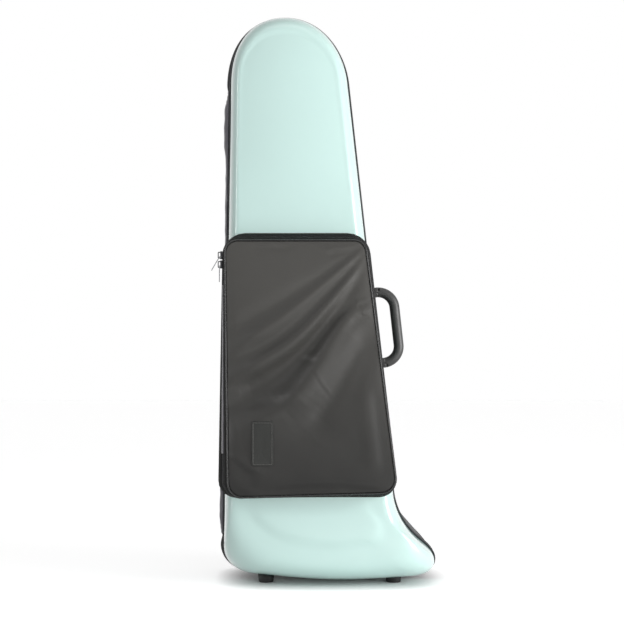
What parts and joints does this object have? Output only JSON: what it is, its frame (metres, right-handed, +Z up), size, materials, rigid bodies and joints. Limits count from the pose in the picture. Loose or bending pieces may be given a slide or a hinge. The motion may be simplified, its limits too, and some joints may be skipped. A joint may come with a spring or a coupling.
{
  "type": "trombone case",
  "caption": "Hard moulded trombone case standing on its bell end, with a zipped bag on the lid, a fabric hinge, a side handle and rubber feet.",
  "frame": {"origin": "on the floor, under the middle of the closed case's bounding box", "axes": "+Z up along the case as it stands on its bell end, the lid with the bag faces -Y, the handle is on the +X side"},
  "size_m": [0.3717, 0.3132, 0.9443],
  "materials": {
    "shell": "gloss",
    "textile": "matte",
    "trim": "satin",
    "tape": "matte",
    "strip": "satin",
    "plush": "matte",
    "leather": "satin",
    "rubber": "matte",
    "handle": "satin",
    "steel": "satin",
    "zinc": "satin",
    "webbing": "matte"
  },
  "bodies": {
    "back_half": {"back_shell": "textile", "back_rim_trim": "trim", "back_zip_tape": "tape", "hinge_strip_back": "strip", "bell_block": "plush", "accessory_block": "plush", "handle_grip": "handle", "handle_plate_upper": "handle", "handle_plate_lower": "handle", "handle_bolt_upper": "steel", "handle_bolt_lower": "steel", "handle_backing_plate": "steel", "foot_back_left": "rubber", "foot_back_right": "rubber", "foot_screw_back_left": "steel", "foot_screw_back_right": "steel", "ring_tab_upper_left": "webbing", "ring_tab_upper_right": "webbing", "ring_tab_lower_left": "webbing", "ring_tab_lower_right": "webbing"},
    "lid": {"lid_shell": "shell", "lid_rim_trim": "trim", "lid_zip_tape": "tape", "hinge_strip_front": "strip", "lid_lining": "plush", "slide_cradle": "plush", "slide_strap_lower": "webbing", "slide_strap_upper": "webbing", "strap_pad_left_lower": "webbing", "strap_pad_right_lower": "webbing", "strap_pad_left_upper": "webbing", "strap_pad_right_upper": "webbing", "foot_front_left": "rubber", "foot_front_right": "rubber", "foot_screw_front_left": "steel", "foot_screw_front_right": "steel", "bag_back": "leather", "bag_rear_wall": "leather", "bag_rear_zip_tape": "tape", "bag_strip_rear": "strip"},
    "bag_front": {"bag_front_wall": "leather", "bag_front_zip_tape": "tape", "bag_strip_front": "strip", "bag_front_piping": "trim", "bag_front_panel": "leather", "bag_patch": "leather"},
    "d_ring_upper_left": {"d_ring_upper_left": "zinc"},
    "d_ring_upper_right": {"d_ring_upper_right": "zinc"},
    "d_ring_lower_left": {"d_ring_lower_left": "zinc"},
    "d_ring_lower_right": {"d_ring_lower_right": "zinc"},
    "case_upper_slider": {"case_upper_slider": "zinc"},
    "case_upper_pull": {"case_upper_pull": "steel"},
    "case_lower_slider": {"case_lower_slider": "zinc"},
    "case_lower_pull": {"case_lower_pull": "steel"},
    "bag_upper_slider": {"bag_upper_slider": "zinc"},
    "bag_upper_pull": {"bag_upper_pull": "steel"},
    "bag_lower_slider": {"bag_lower_slider": "zinc"},
    "bag_lower_pull": {"bag_lower_pull": "steel"}
  },
  "joints": [
    {"name": "lid_hinge", "type": "hinge", "parent": "back_half", "child": "lid", "pos_m": [-0.17335, 0.01399, 0.45015], "axis": [-0.0142, 0, -0.9999], "range_deg": [0, 180]},
    {"name": "bag_hinge", "type": "hinge", "parent": "lid", "child": "bag_front", "pos_m": [-0.17488, -0.11881, 0.40018], "axis": [0.0009, -0.0609, -0.9981], "range_deg": [0, 115]},
    {"name": "case_upper_zip", "type": "slide", "parent": "back_half", "child": "case_upper_slider", "axis": [-0.11, 0, 0.9939], "range_m": [0, 0.57]},
    {"name": "case_lower_zip", "type": "slide", "parent": "back_half", "child": "case_lower_slider", "axis": [0.11, 0, -0.9939], "range_m": [0, 0.04]},
    {"name": "bag_upper_zip", "type": "hinge", "parent": "lid", "child": "bag_upper_slider", "pos_m": [-0.136, -0.10711, 0.54204], "axis": [0, 0.9981, -0.0609], "range_deg": [0, 40]},
    {"name": "bag_lower_zip", "type": "slide", "parent": "lid", "child": "bag_lower_slider", "axis": [0.0009, -0.0609, -0.9981], "range_m": [0, 0.016]},
    {"name": "case_upper_pull_swing", "type": "hinge", "parent": "case_upper_slider", "child": "case_upper_pull", "pos_m": [0.10946, 0.01399, 0.23618], "axis": [0, -1, 0], "range_deg": [0, 140]},
    {"name": "case_lower_pull_swing", "type": "hinge", "parent": "case_lower_slider", "child": "case_lower_pull", "pos_m": [0.11366, 0.01399, 0.19818], "axis": [0, -1, 0], "range_deg": [0, 140]},
    {"name": "bag_upper_pull_swing", "type": "hinge", "parent": "bag_upper_slider", "child": "bag_upper_pull", "pos_m": [-0.17201, -0.10801, 0.53854], "axis": [-0.1132, 0.9917, -0.0606], "range_deg": [0, 110]},
    {"name": "bag_lower_pull_swing", "type": "hinge", "parent": "bag_lower_slider", "child": "bag_lower_pull", "pos_m": [-0.17199, -0.10893, 0.52354], "axis": [-0.1132, 0.9917, -0.0606], "range_deg": [0, 45]},
    {"name": "ring_upper_left_swing", "type": "hinge", "parent": "back_half", "child": "d_ring_upper_left", "pos_m": [-0.09443, 0.11821, 0.70529], "axis": [1, 0, 0], "range_deg": [0, 150]},
    {"name": "ring_upper_right_swing", "type": "hinge", "parent": "back_half", "child": "d_ring_upper_right", "pos_m": [-0.01843, 0.11821, 0.70529], "axis": [1, 0, 0], "range_deg": [0, 150]},
    {"name": "ring_lower_left_swing", "type": "hinge", "parent": "back_half", "child": "d_ring_lower_left", "pos_m": [-0.09643, 0.15048, 0.21529], "axis": [1, 0, 0], "range_deg": [0, 150]},
    {"name": "ring_lower_right_swing", "type": "hinge", "parent": "back_half", "child": "d_ring_lower_right", "pos_m": [0.05957, 0.15048, 0.21529], "axis": [1, 0, 0], "range_deg": [0, 150]}
  ]
}
